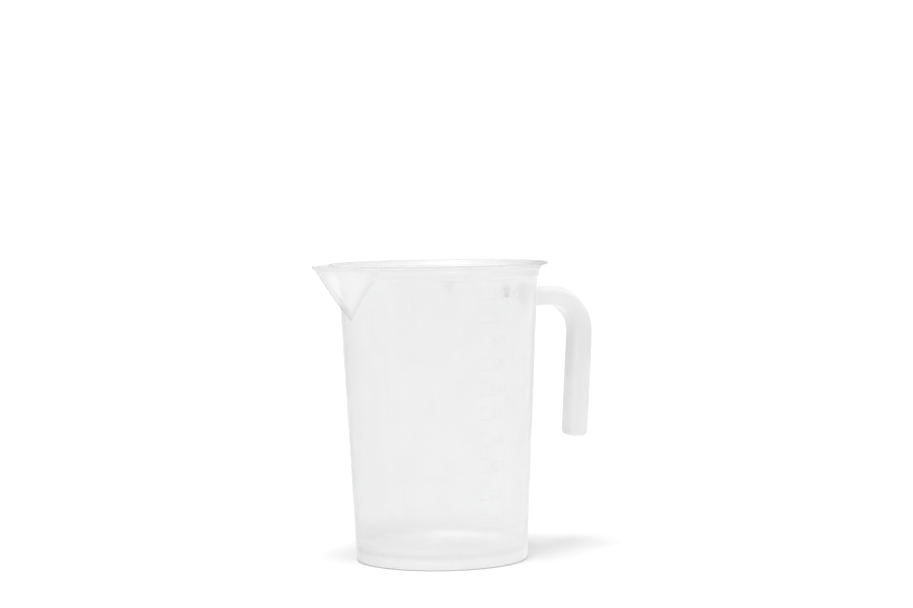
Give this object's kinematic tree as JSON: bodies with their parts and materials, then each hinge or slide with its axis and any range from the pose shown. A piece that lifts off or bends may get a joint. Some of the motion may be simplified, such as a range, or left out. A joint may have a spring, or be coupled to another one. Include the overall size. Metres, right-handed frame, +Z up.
{
  "type": "measuring beaker",
  "caption": "Tapered translucent measuring beaker with a flared rim, a V-shaped pouring spout, a raised scale and an open handle that hangs from its upper arm.",
  "frame": {"origin": "on the vessel's axis, in the plane of the foot ring's underside that the beaker stands on", "axes": "+Z up along the vessel's axis, +X out through the handle, -X out through the spout, -Y the side that carries the raised scale"},
  "size_m": [0.1713, 0.1188, 0.16],
  "materials": {
    "milky_wall": "natural polypropylene, milky and translucent, fine satin moulded surface",
    "milky_handle": "natural polypropylene in a thick solid section, nearly opaque, satin",
    "raised_marks": "natural polypropylene, raised and uncoloured, slightly glossier than the wall"
  },
  "bodies": {
    "root": {"vessel_wall": "milky_wall", "vessel_floor": "milky_wall", "foot_ring": "milky_wall", "rim_lip": "milky_wall", "pouring_spout": "milky_wall", "spout_lip": "milky_wall", "handle_root": "milky_handle", "handle_arm": "milky_handle", "handle_grip": "milky_handle", "stacking_lugs": "raised_marks", "scale_lines_major": "raised_marks", "scale_lines_minor": "raised_marks", "scale_numerals": "raised_marks", "unit_mark": "raised_marks", "gate_mark": "raised_marks"}
  },
  "joints": []
}
